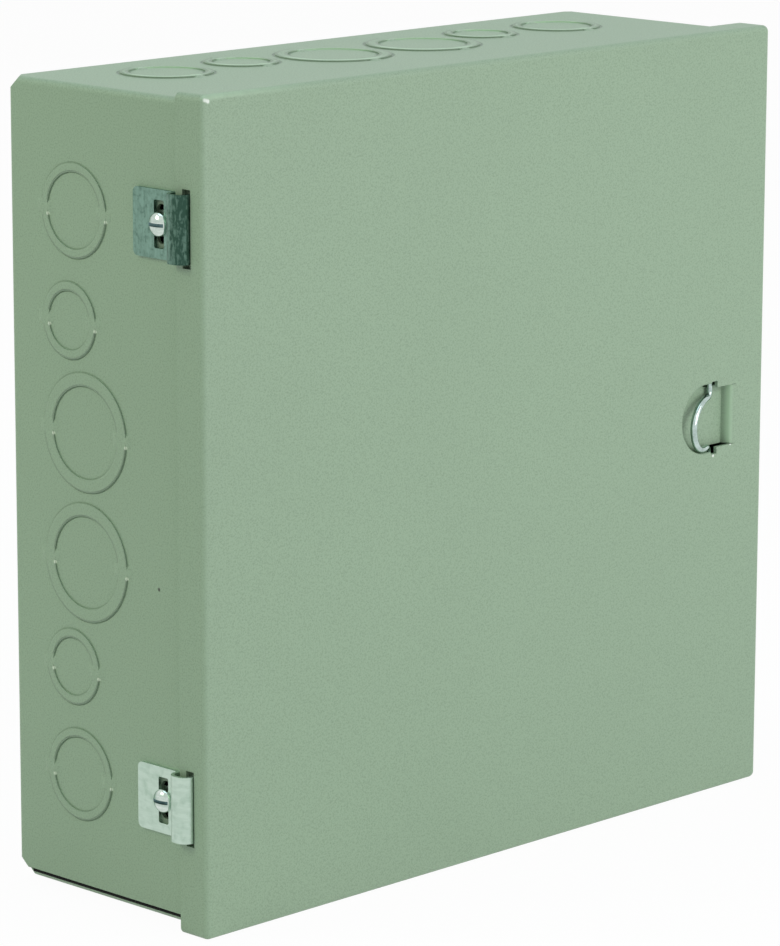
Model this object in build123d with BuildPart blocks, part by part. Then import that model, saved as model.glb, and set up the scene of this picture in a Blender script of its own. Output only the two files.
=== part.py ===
from build123d import *
import os
from math import cos, radians, sin, sqrt

# Frame: X right, front toward -Y, Z up; wall plane at y = 0, origin at the mounting pattern's centre

# Steel sheet
sheet = 1.5
bend_radius = 2.5
edge_radius = 2.2

# Box
box_width = 304.8
box_height = 304.8
box_depth = 104.0
rear_flange = 18.0
front_lip = 12.0
lip_chamfer = 1.0
mitre_gap = 0.8
clip_run = 7.0
clip_length = 6.2
clip_rise = 5.6

# Lap seam at the bottom left corner
lap_clearance = 0.2
seam_rise = 3.7
lap_height = 18.0
lap_start = 6.0
lap_clip_length = 9.5
lap_clip_rise = 8.0
lap_end_clearance = 0.3

# Back plate
plate_width = 292.0
plate_height = 292.0
hole_inset = 19.0
hole_diameter = 7.9

# Knockouts
small_inner = 22.2
small_outer = 28.6
medium_inner = 28.6
medium_outer = 34.9
large_inner = 34.9
large_outer = 44.5
knockout_first = 24.4
knockout_step = 40.85
knockout_rear_share = 0.1894
knockout_raise = 0.5

# Cover
cover_clearance = 0.9
cover_standoff = 0.8
cover_flange = 13.9

# Hinges
hinge_inset = 45.9
leaf_sheet = 1.4
leaf_height = 25.0
leaf_reach = 25.2
leaf_corner = 2.2
leaf_turn = 1.0
axis_out = 2.4
axis_ahead = 1.6
hook_inner_radius = 2.95
hook_stretch = 1.2
hook_end_clearance = 0.4
strip_width = 3.4
window_ahead = 5.9
window_margin = 1.7
slot_width = 5.2
slot_height = 17.5
slot_corner = 0.8
wall_slot_height = 14.5
screw_inset = 13.7
screw_diameter = 4.8
screw_clearance = 0.2
head_diameter = 9.0
head_height = 2.7
head_crown = 1.3
head_slope = 2.0
drive_width = 1.3
drive_depth = 1.3
thread_clearance = 0.05
nut_across = 9.5
nut_thickness = 3.2
thread_end = 1.6

# Latch pocket
pocket_radius = 13.9
pocket_depth = 4.5
pocket_from_edge = 49.0
ramp_from_edge = 19.2
ramp_run = 1.6
ramp_round = 2.0
ramp_land = 2.2
mouth_height = 24.4
shear_clearance = 0.15
notch_width = 3.2
notch_reach = 14.8
rim_round = 1.0

# Latch ring, held a little proud of the cover
pivot_from_edge = 29.95
pivot_depth = 2.9
ring_wire = 2.4
ring_sides = 6
ring_radius = 11.2
ring_length = 13.8
ring_bend = 2.4
ring_drop = 1.0
ring_proud_angle = 15.0
pin_reach = 24.4

# Latch catch, keepers and strike
catch_sheet = 1.5
catch_place = 17.0
catch_root = 2.6
catch_neck = 3.5
catch_back = 8.9
catch_web = 4.6
catch_bite = 1.6
keeper_sheet = 1.2
keeper_place = 20.2
keeper_height = 2.8
keeper_clearance = 0.25
keeper_foot = 6.5
strike_height = 44.0
strike_foot = 9.0
strike_clearance = 0.3

# Derived places
half_width = box_width / 2
half_height = box_height / 2
hole_spacing_x = plate_width - 2 * hole_inset
hole_spacing_z = plate_height - 2 * hole_inset
box_front = sheet + box_depth
cover_front = box_front + cover_standoff + sheet
cover_rear = cover_front - cover_flange
cover_width = box_width + 2 * (cover_clearance + sheet)
cover_height = box_height + 2 * (cover_clearance + sheet)
cover_edge = cover_width / 2
axis_x = -half_width - axis_out
axis_y = -cover_rear - axis_ahead
hook_outer_radius = hook_inner_radius + leaf_sheet
hinge_rise = half_height - hinge_inset
leaf_rear = -axis_y - leaf_reach
screw_place = leaf_rear + screw_inset
knockout_rear = box_depth * knockout_rear_share
window_rear = cover_rear + strip_width
window_front = -axis_y + window_ahead
pivot_x = cover_edge - pivot_from_edge
pivot_y = pivot_depth - cover_front
strike_x = half_width - front_lip
strike_back = catch_back - strike_clearance
proud_cos = cos(radians(ring_proud_angle))
proud_sin = sin(radians(ring_proud_angle))
bend_share = 1 - sqrt(2) / 2

# Wall planes: local x runs from the wall plane to the front, local z points out
left_wall = Plane(origin=(-half_width, 0, 0), x_dir=(0, -1, 0), z_dir=(-1, 0, 0))
right_wall = Plane(origin=(half_width, 0, 0), x_dir=(0, -1, 0), z_dir=(1, 0, 0))
top_wall = Plane(origin=(0, 0, half_height), x_dir=(0, -1, 0), z_dir=(0, 0, 1))
bottom_wall = Plane(origin=(0, 0, -half_height), x_dir=(0, -1, 0), z_dir=(0, 0, -1))
walls = [left_wall, right_wall, top_wall, bottom_wall]
cover_side = left_wall.offset(cover_clearance + sheet)

# Knockouts of one wall: inner and outer diameter, place along the wall
knockouts = [
    (large_inner, large_outer, knockout_first),
    (small_inner, small_outer, knockout_first + knockout_step),
    (medium_inner, medium_outer, knockout_first + 2 * knockout_step),
]

# Box wrap: one strip folded round four corners, with rear flanges and front lips
with BuildPart() as box_wrap:
    with BuildSketch(Plane.XZ.offset(sheet)):
        RectangleRounded(box_width, box_height, bend_radius)
    extrude(amount=box_depth)
    ends = box_wrap.faces().sort_by(Axis.Y)
    fillet(ends[-1].edges(), edge_radius)
    chamfer(ends[0].edges(), lip_chamfer)
    with BuildSketch(Plane.XZ.offset(2 * sheet)):
        RectangleRounded(box_width - 2 * sheet, box_height - 2 * sheet, bend_radius - sheet)
    extrude(amount=box_depth - 2 * sheet, mode=Mode.SUBTRACT)
    with BuildSketch(Plane.XZ.offset(sheet)):
        Rectangle(box_width - 2 * rear_flange, box_height - 2 * rear_flange)
    extrude(amount=sheet, mode=Mode.SUBTRACT)
    with BuildSketch(Plane.XZ.offset(box_front - sheet)):
        Rectangle(box_width - 2 * front_lip, box_height - 2 * front_lip)
    extrude(amount=sheet, mode=Mode.SUBTRACT)
    # Mitres of the flanges and lips
    with BuildSketch(Plane.XZ.offset(sheet)):
        with PolarLocations((half_width - rear_flange / 2) * sqrt(2) - mitre_gap / 2, 4, start_angle=45):
            Rectangle(rear_flange * sqrt(2) + mitre_gap, mitre_gap)
    extrude(amount=sheet, mode=Mode.SUBTRACT)
    with BuildSketch(Plane.XZ.offset(box_front - sheet)):
        with PolarLocations((half_width - front_lip / 2) * sqrt(2) - mitre_gap / 2, 4, start_angle=45):
            Rectangle(front_lip * sqrt(2) + mitre_gap, mitre_gap)
    extrude(amount=sheet, mode=Mode.SUBTRACT)
    # Lap seam: the left wall stops short and the bottom panel turns up inside it
    lap_x = -half_width + sheet + lap_clearance
    with BuildSketch(Plane.XZ.offset(sheet)):
        with Locations((-half_width, -half_height)):
            Rectangle(sheet + lap_clearance + bend_radius, seam_rise, align=(Align.MIN, Align.MIN))
    extrude(amount=box_depth, mode=Mode.SUBTRACT)
    with BuildSketch(Plane.XZ.offset(sheet + lap_start)):
        with BuildLine():
            Line((lap_x + bend_radius, -half_height), (lap_x + bend_radius, sheet - half_height))
            RadiusArc(
                (lap_x + bend_radius, sheet - half_height),
                (lap_x + sheet, bend_radius - half_height),
                bend_radius - sheet,
            )
            Line((lap_x + sheet, bend_radius - half_height), (lap_x + sheet, lap_height - half_height))
            Line((lap_x + sheet, lap_height - half_height), (lap_x, lap_height - half_height))
            Line((lap_x, lap_height - half_height), (lap_x, bend_radius - half_height))
            RadiusArc(
                (lap_x, bend_radius - half_height),
                (lap_x + bend_radius, -half_height),
                -bend_radius,
            )
        make_face()
    extrude(amount=box_depth - sheet - lap_start - lap_end_clearance)
    # Clipped rear corners, larger at the lap
    for side, end, length, rise in (
        (1, 1, clip_length, clip_rise),
        (1, -1, clip_length, clip_rise),
        (-1, 1, clip_length, clip_rise),
        (-1, -1, lap_clip_length, lap_clip_rise),
    ):
        clip = Plane(
            origin=(side * half_width, -sheet - length, end * half_height),
            z_dir=(side / clip_run, 1 / length, end / rise),
        )
        split(bisect_by=clip, keep=Keep.BOTTOM)
    # Knockouts: a ring stands proud on the left and top walls, a plain disc on the other two
    for wall in walls:
        for inner, outer, place in knockouts:
            centre = knockout_rear + outer / 2
            with BuildSketch(wall):
                with Locations((centre, place), (centre, -place)):
                    Circle(outer / 2)
                    if wall in (left_wall, top_wall):
                        Circle(inner / 2, mode=Mode.SUBTRACT)
            extrude(amount=knockout_raise)
    # Slots of the hinge screws
    with BuildSketch(left_wall):
        with Locations((screw_place, hinge_rise), (screw_place, -hinge_rise)):
            SlotOverall(wall_slot_height, screw_diameter + 2 * screw_clearance, rotation=90)
    extrude(amount=-sheet, mode=Mode.SUBTRACT)

# Back plate, welded behind the rear flanges, with the mounting holes
with BuildPart() as back_plate:
    with BuildSketch(Plane.XZ):
        Rectangle(plate_width, plate_height)
        with GridLocations(hole_spacing_x, hole_spacing_z, 2, 2):
            Circle(hole_diameter / 2, mode=Mode.SUBTRACT)
    extrude(amount=sheet)


# Hinge leaf: a slotted plate on the left wall, rolled forward into an open hook
def hinge_leaf(rise):
    with BuildPart() as leaf:
        with BuildSketch(Plane.XY.offset(rise - leaf_height / 2)) as profile:
            with Locations((axis_x, axis_y - hook_stretch / 2)):
                SlotCenterToCenter(hook_stretch, 2 * hook_outer_radius, rotation=90)
            with Locations((-half_width, -leaf_rear)):
                Rectangle(leaf_sheet, leaf_reach, align=(Align.MAX, Align.MAX))
            outer_corners = profile.vertices().filter_by(lambda corner: corner.X < -half_width)
            fillet(outer_corners.sort_by(Axis.Y)[-2], leaf_turn)
            with Locations((axis_x, axis_y - hook_stretch / 2)):
                SlotCenterToCenter(hook_stretch, 2 * hook_inner_radius, rotation=90, mode=Mode.SUBTRACT)
            with Locations((-half_width, axis_y)):
                Rectangle(
                    hook_outer_radius,
                    hook_outer_radius,
                    align=(Align.MIN, Align.MIN),
                    mode=Mode.SUBTRACT,
                )
            with Locations((-half_width - hook_end_clearance, axis_y)):
                Rectangle(
                    hook_outer_radius,
                    hook_stretch + hook_outer_radius,
                    align=(Align.MIN, Align.MAX),
                    mode=Mode.SUBTRACT,
                )
        extrude(amount=leaf_height)
        fillet(leaf.edges().filter_by(Axis.X).sort_by(Axis.Y)[-2:], leaf_corner)
        with BuildSketch(left_wall):
            with Locations((screw_place, rise)):
                RectangleRounded(slot_width, slot_height, slot_corner)
        extrude(amount=leaf_sheet, mode=Mode.SUBTRACT)
    return leaf


upper_hinge_leaf = hinge_leaf(hinge_rise)
lower_hinge_leaf = hinge_leaf(-hinge_rise)


# Hinge screw: slotted pan head outside the leaf, shank through the wall
def hinge_screw(rise):
    with BuildPart() as screw:
        with BuildSketch(left_wall.offset(leaf_sheet)):
            with Locations((screw_place, rise)):
                Circle(head_diameter / 2)
        extrude(amount=head_height)
        chamfer(screw.edges().sort_by(Axis.X)[0], head_crown, head_slope)
        with BuildSketch(left_wall.offset(leaf_sheet + head_height)):
            with Locations((screw_place, rise)):
                Rectangle(head_diameter, drive_width)
        extrude(amount=-drive_depth, mode=Mode.SUBTRACT)
        with BuildSketch(left_wall.offset(leaf_sheet)):
            with Locations((screw_place, rise)):
                Circle(screw_diameter / 2)
        extrude(amount=-(leaf_sheet + sheet + nut_thickness + thread_end))
    return screw


upper_hinge_screw = hinge_screw(hinge_rise)
lower_hinge_screw = hinge_screw(-hinge_rise)


# Hinge nut inside the box
def hinge_nut(rise):
    with BuildPart() as nut:
        with BuildSketch(left_wall.offset(-sheet)):
            with Locations((screw_place, rise)):
                RegularPolygon(nut_across / 2, 6, major_radius=False)
                Circle(screw_diameter / 2 + thread_clearance, mode=Mode.SUBTRACT)
        extrude(amount=-nut_thickness)
    return nut


upper_hinge_nut = hinge_nut(hinge_rise)
lower_hinge_nut = hinge_nut(-hinge_rise)

# Latch strike: an angle welded behind the right front lip
with BuildPart() as latch_strike:
    with BuildSketch(Plane.XY.offset(-strike_height / 2)):
        with Locations((strike_x, sheet - box_front)):
            Rectangle(strike_foot, sheet, align=(Align.MIN, Align.MIN))
        with Locations((strike_x, sheet - box_front)):
            Rectangle(sheet, pivot_y + strike_back - sheet + box_front, align=(Align.MIN, Align.MIN))
    extrude(amount=strike_height)

# Cover: a shallow tray over the box front, with hinge windows and a stamped latch pocket
with BuildPart() as cover:
    with BuildSketch(Plane.XZ.offset(cover_rear)):
        RectangleRounded(cover_width, cover_height, bend_radius)
    extrude(amount=cover_flange)
    fillet(cover.faces().sort_by(Axis.Y)[0].edges(), edge_radius)
    with BuildSketch(Plane.XZ.offset(cover_rear)):
        RectangleRounded(cover_width - 2 * sheet, cover_height - 2 * sheet, bend_radius - sheet)
    extrude(amount=cover_flange - sheet, mode=Mode.SUBTRACT)
    # Windows the hooks reach through
    with BuildSketch(cover_side):
        with Locations((window_rear, hinge_rise), (window_rear, -hinge_rise)):
            Rectangle(
                window_front - window_rear,
                leaf_height + 2 * window_margin,
                align=(Align.MIN, Align.CENTER),
            )
    extrude(amount=-sheet, mode=Mode.SUBTRACT)
    # Pocket: round drawn dish on the left, sheared mouth and ramp on the right
    dish_x = cover_edge - pocket_from_edge + pocket_radius
    ramp_x = cover_edge - ramp_from_edge
    dish_end = pivot_x - notch_width / 2 - sheet / 2
    with BuildSketch(Plane.XZ.offset(cover_front)):
        with Locations((dish_x, 0)):
            Circle(pocket_radius + sheet)
            Rectangle(
                dish_end - dish_x,
                2 * (pocket_radius + sheet),
                align=(Align.MIN, Align.CENTER),
            )
        with Locations((dish_end, 0)):
            Rectangle(
                2 * pocket_radius,
                2 * (pocket_radius + sheet),
                align=(Align.MIN, Align.CENTER),
                mode=Mode.SUBTRACT,
            )
    extrude(amount=-(pocket_depth + sheet))
    with BuildSketch(Plane.XZ.offset(cover_front)):
        with Locations((dish_x, 0)):
            Circle(pocket_radius)
            Rectangle(pivot_x - dish_x, 2 * pocket_radius, align=(Align.MIN, Align.CENTER))
        with Locations((pivot_x, 0)):
            Rectangle(
                2 * pocket_radius,
                2 * pocket_radius,
                align=(Align.MIN, Align.CENTER),
                mode=Mode.SUBTRACT,
            )
    extrude(amount=-pocket_depth, mode=Mode.SUBTRACT)
    rims = cover.edges().filter_by(GeomType.CIRCLE).filter_by(lambda edge: edge.radius == pocket_radius)
    fillet(rims.sort_by(Axis.Y)[0], rim_round)
    with BuildSketch(Plane.XZ.offset(cover_front)):
        with Locations((pivot_x, 0)):
            Rectangle(ramp_x + ramp_land - pivot_x, mouth_height, align=(Align.MIN, Align.CENTER))
            Rectangle(notch_width, 2 * notch_reach)
    extrude(amount=-pocket_depth, mode=Mode.SUBTRACT)
    with BuildSketch(Plane.XY.offset(shear_clearance - mouth_height / 2)) as ramp:
        Polygon(
            (dish_end, pocket_depth - cover_front),
            (ramp_x - ramp_run, pocket_depth - cover_front),
            (ramp_x, -cover_front),
            (ramp_x + ramp_land, -cover_front),
            (ramp_x + ramp_land, sheet - cover_front),
            (ramp_x + sheet, sheet - cover_front),
            (ramp_x + sheet - ramp_run, pocket_depth + sheet - cover_front),
            (dish_end, pocket_depth + sheet - cover_front),
            align=None,
        )
        fillet(ramp.vertices().group_by(Axis.Y)[0].sort_by(Axis.X)[0], ramp_round)
    extrude(amount=mouth_height - 2 * shear_clearance)


# Latch keeper: a strap over one pin of the ring, welded inside the cover
def latch_keeper(low_end):
    with BuildPart() as keeper:
        with BuildSketch(Plane.XY.offset(low_end)):
            with Locations((pivot_x, pivot_y)):
                Circle(ring_wire / 2 + keeper_clearance + keeper_sheet)
            with Locations((pivot_x, sheet - cover_front)):
                Rectangle(
                    ring_wire + 2 * (keeper_clearance + keeper_sheet),
                    pivot_depth - sheet,
                    align=(Align.CENTER, Align.MIN),
                )
                Rectangle(2 * keeper_foot, keeper_sheet, align=(Align.CENTER, Align.MIN))
            with Locations((pivot_x, pivot_y)):
                Circle(ring_wire / 2 + keeper_clearance, mode=Mode.SUBTRACT)
            with Locations((pivot_x, sheet - cover_front)):
                Rectangle(
                    ring_wire + 2 * keeper_clearance,
                    pivot_depth - sheet,
                    align=(Align.CENTER, Align.MIN),
                    mode=Mode.SUBTRACT,
                )
                Rectangle(
                    2 * keeper_foot,
                    pocket_depth,
                    align=(Align.CENTER, Align.MAX),
                    mode=Mode.SUBTRACT,
                )
        extrude(amount=keeper_height)
    return keeper


upper_latch_keeper = latch_keeper(keeper_place)
lower_latch_keeper = latch_keeper(-keeper_place - keeper_height)

# Latch ring: one bent bar, a half ring with a round pin turned out at each end
ring_plane = Plane(
    origin=(pivot_x, pivot_y, -ring_drop),
    x_dir=(-proud_cos, -proud_sin, 0),
    z_dir=(-proud_sin, proud_cos, 0),
)
with BuildPart() as latch_ring:
    with BuildLine(ring_plane) as ring_path:
        ThreePointArc(
            (0, ring_radius + ring_bend),
            (bend_share * ring_bend, ring_radius + bend_share * ring_bend),
            (ring_bend, ring_radius),
        )
        Line((ring_bend, ring_radius), (ring_length - ring_radius, ring_radius))
        ThreePointArc(
            (ring_length - ring_radius, ring_radius),
            (ring_length, 0),
            (ring_length - ring_radius, -ring_radius),
        )
        Line((ring_length - ring_radius, -ring_radius), (ring_bend, -ring_radius))
        ThreePointArc(
            (ring_bend, -ring_radius),
            (bend_share * ring_bend, -ring_radius - bend_share * ring_bend),
            (0, -ring_radius - ring_bend),
        )
    ring_start = Plane(
        origin=ring_path.wire() @ 0,
        x_dir=ring_plane.x_dir,
        z_dir=ring_path.wire() % 0,
    )
    with BuildSketch(ring_start):
        RegularPolygon(ring_wire / 2, ring_sides, major_radius=False, rotation=180 / ring_sides)
    sweep(path=ring_path.wire())
    for side in (1, -1):
        with BuildSketch(Plane.XY.offset(side * (ring_radius + ring_bend) - ring_drop)):
            with Locations((pivot_x, pivot_y)):
                Circle(ring_wire / 2)
        extrude(amount=side * (pin_reach - ring_radius - ring_bend))

# Latch catch: two arms welded to the pins and a web whose edge hooks behind the strike
catch_x = strike_x + catch_bite - pivot_x
catch_plane = Plane(
    origin=(pivot_x, pivot_y, -ring_drop),
    x_dir=(proud_cos, proud_sin, 0),
    z_dir=(0, 0, 1),
)
with BuildPart() as latch_catch:
    for low_end in (catch_place, -catch_place - catch_sheet):
        with BuildSketch(catch_plane.offset(low_end)):
            Polygon(
                (0, 0),
                (catch_neck, 0),
                (catch_x - catch_web, catch_back),
                (catch_x, catch_back),
                (catch_x, catch_back + catch_sheet),
                (catch_x - catch_web - catch_sheet, catch_back + catch_sheet),
                (0, catch_root),
                align=None,
            )
            Circle(ring_wire / 2, mode=Mode.SUBTRACT)
        extrude(amount=catch_sheet)
    with BuildSketch(catch_plane.offset(-catch_place)):
        with Locations((catch_x, catch_back)):
            Rectangle(catch_web, catch_sheet, align=(Align.MAX, Align.MIN))
    extrude(amount=2 * catch_place)

# One STEP file for each piece
os.makedirs("parts", exist_ok=True)
box_wrap.part.label = "box_wrap"
export_step(box_wrap.part, "parts/box_wrap.step")
back_plate.part.label = "back_plate"
export_step(back_plate.part, "parts/back_plate.step")
upper_hinge_leaf.part.label = "upper_hinge_leaf"
export_step(upper_hinge_leaf.part, "parts/upper_hinge_leaf.step")
lower_hinge_leaf.part.label = "lower_hinge_leaf"
export_step(lower_hinge_leaf.part, "parts/lower_hinge_leaf.step")
upper_hinge_screw.part.label = "upper_hinge_screw"
export_step(upper_hinge_screw.part, "parts/upper_hinge_screw.step")
lower_hinge_screw.part.label = "lower_hinge_screw"
export_step(lower_hinge_screw.part, "parts/lower_hinge_screw.step")
upper_hinge_nut.part.label = "upper_hinge_nut"
export_step(upper_hinge_nut.part, "parts/upper_hinge_nut.step")
lower_hinge_nut.part.label = "lower_hinge_nut"
export_step(lower_hinge_nut.part, "parts/lower_hinge_nut.step")
latch_strike.part.label = "latch_strike"
export_step(latch_strike.part, "parts/latch_strike.step")
cover.part.label = "cover"
export_step(cover.part, "parts/cover.step")
upper_latch_keeper.part.label = "upper_latch_keeper"
export_step(upper_latch_keeper.part, "parts/upper_latch_keeper.step")
lower_latch_keeper.part.label = "lower_latch_keeper"
export_step(lower_latch_keeper.part, "parts/lower_latch_keeper.step")
latch_ring.part.label = "latch_ring"
export_step(latch_ring.part, "parts/latch_ring.step")
latch_catch.part.label = "latch_catch"
export_step(latch_catch.part, "parts/latch_catch.step")
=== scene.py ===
"""Looks of a wall-mounted sheet steel enclosure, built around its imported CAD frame."""

import logging
import math
from dataclasses import dataclass
from enum import Enum
from typing import Optional, Union

import bmesh
import bpy
from mathutils import Matrix, Vector

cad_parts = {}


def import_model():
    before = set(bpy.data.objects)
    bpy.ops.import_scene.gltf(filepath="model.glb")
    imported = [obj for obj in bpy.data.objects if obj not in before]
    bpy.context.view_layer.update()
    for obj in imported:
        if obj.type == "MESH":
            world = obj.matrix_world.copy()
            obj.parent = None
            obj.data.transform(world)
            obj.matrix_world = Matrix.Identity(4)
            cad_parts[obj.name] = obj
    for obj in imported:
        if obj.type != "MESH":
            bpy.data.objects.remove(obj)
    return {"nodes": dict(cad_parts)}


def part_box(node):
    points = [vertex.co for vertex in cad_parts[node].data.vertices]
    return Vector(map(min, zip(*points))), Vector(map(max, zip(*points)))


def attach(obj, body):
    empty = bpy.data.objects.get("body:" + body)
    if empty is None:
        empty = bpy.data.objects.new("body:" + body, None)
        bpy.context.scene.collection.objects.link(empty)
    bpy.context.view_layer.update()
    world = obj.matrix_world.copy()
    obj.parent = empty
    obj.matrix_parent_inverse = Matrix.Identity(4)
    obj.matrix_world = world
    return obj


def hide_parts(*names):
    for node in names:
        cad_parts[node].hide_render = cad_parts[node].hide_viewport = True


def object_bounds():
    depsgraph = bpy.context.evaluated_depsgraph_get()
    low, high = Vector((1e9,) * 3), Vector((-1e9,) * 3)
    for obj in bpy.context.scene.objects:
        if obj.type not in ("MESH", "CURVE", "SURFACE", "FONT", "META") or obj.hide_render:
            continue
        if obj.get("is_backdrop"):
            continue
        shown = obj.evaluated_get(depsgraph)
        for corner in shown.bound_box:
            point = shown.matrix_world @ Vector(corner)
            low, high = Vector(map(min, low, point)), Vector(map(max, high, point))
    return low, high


LOG = logging.getLogger("enclosure")
MM = 0.001
CAD_SMOOTH_ANGLE = 32.0
FLOOR_GAP = 0.2 * MM
NOISE_ROUGHNESS = 0.55

Colour = tuple[float, float, float]
Point = tuple[float, float, float]
Span = tuple[float, float]
Socket = bpy.types.NodeSocket


class Body(Enum):
    """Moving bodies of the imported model."""

    BOX = "box"
    DOOR = "door"
    LATCH = "latch"


class Slot(Enum):
    """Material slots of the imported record."""

    PAINT = "paint"
    ZINC = "zinc"
    SCREW = "screw"
    CHROME = "chrome"


class Wall(Enum):
    """Walls of the box, by the direction that they face."""

    LEFT = (-1.0, 0.0, 0.0)
    RIGHT = (1.0, 0.0, 0.0)
    TOP = (0.0, 0.0, 1.0)
    BOTTOM = (0.0, 0.0, -1.0)


def linear(red: int, green: int, blue: int) -> Colour:
    """Turns a colour as seen on a screen into scene-linear values.

    Args:
        red: Red, from 0 to 255.
        green: Green, from 0 to 255.
        blue: Blue, from 0 to 255.

    Returns:
        The three scene-linear values.
    """
    first, second, third = (
        share / 12.92 if share <= 0.04045 else ((share + 0.055) / 1.055) ** 2.4
        for share in (red / 255, green / 255, blue / 255)
    )
    return first, second, third


class Signal:
    """A value socket of a shader, with Python's operators for its Math nodes."""

    def __init__(self, tree: "ShaderTree", socket: Socket) -> None:
        """Keeps the tree that the socket belongs to, and the socket."""
        self.tree = tree
        self.socket = socket

    def _math(self, operation: str, first: "Operand", second: "Operand" = 0.0) -> "Signal":
        """Adds one Math node.

        Args:
            operation: Blender's name of the operation.
            first: The first operand.
            second: The second operand, where the operation has one.

        Returns:
            The result.
        """
        return self.tree.signal("ShaderNodeMath", {"operation": operation}, {0: first, 1: second})

    def __add__(self, other: "Operand") -> "Signal":
        """Sum."""
        return self._math("ADD", self, other)

    __radd__ = __add__

    def __sub__(self, other: "Operand") -> "Signal":
        """Difference."""
        return self._math("SUBTRACT", self, other)

    def __rsub__(self, other: "Operand") -> "Signal":
        """Reflected difference."""
        return self._math("SUBTRACT", other, self)

    def __mul__(self, other: "Operand") -> "Signal":
        """Product."""
        return self._math("MULTIPLY", self, other)

    __rmul__ = __mul__

    def __abs__(self) -> "Signal":
        """Size without sign."""
        return self._math("ABSOLUTE", self)

    def above(self, limit: "Operand") -> "Signal":
        """One where the value is above a limit, else nought."""
        return self._math("GREATER_THAN", self, limit)

    def sign(self) -> "Signal":
        """One above nought, else minus one."""
        return self.above(0.0) * 2.0 - 1.0

    def least(self, other: "Operand") -> "Signal":
        """The smaller of two values."""
        return self._math("MINIMUM", self, other)

    def most(self, other: "Operand") -> "Signal":
        """The larger of two values."""
        return self._math("MAXIMUM", self, other)

    def ramp(self, start: float, end: float, low: float = 0.0, high: float = 1.0) -> "Signal":
        """Runs smoothly from low at start to high at end.

        Args:
            start: The value that gives low.
            end: The value that gives high.
            low: The result at and before start.
            high: The result at and after end.

        Returns:
            The eased value.
        """
        names = {"Value": self, "From Min": start, "From Max": end, "To Min": low, "To Max": high}
        return self.tree.signal("ShaderNodeMapRange", {"interpolation_type": "SMOOTHSTEP"}, names)

    def within(self, reach: float, core: float) -> "Signal":
        """One up to a share of a distance, falling to nought at the distance."""
        return self.ramp(reach, core * reach)


Operand = Union[Signal, float, int]
Link = Union[Signal, Socket, float, int, tuple]


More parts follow.
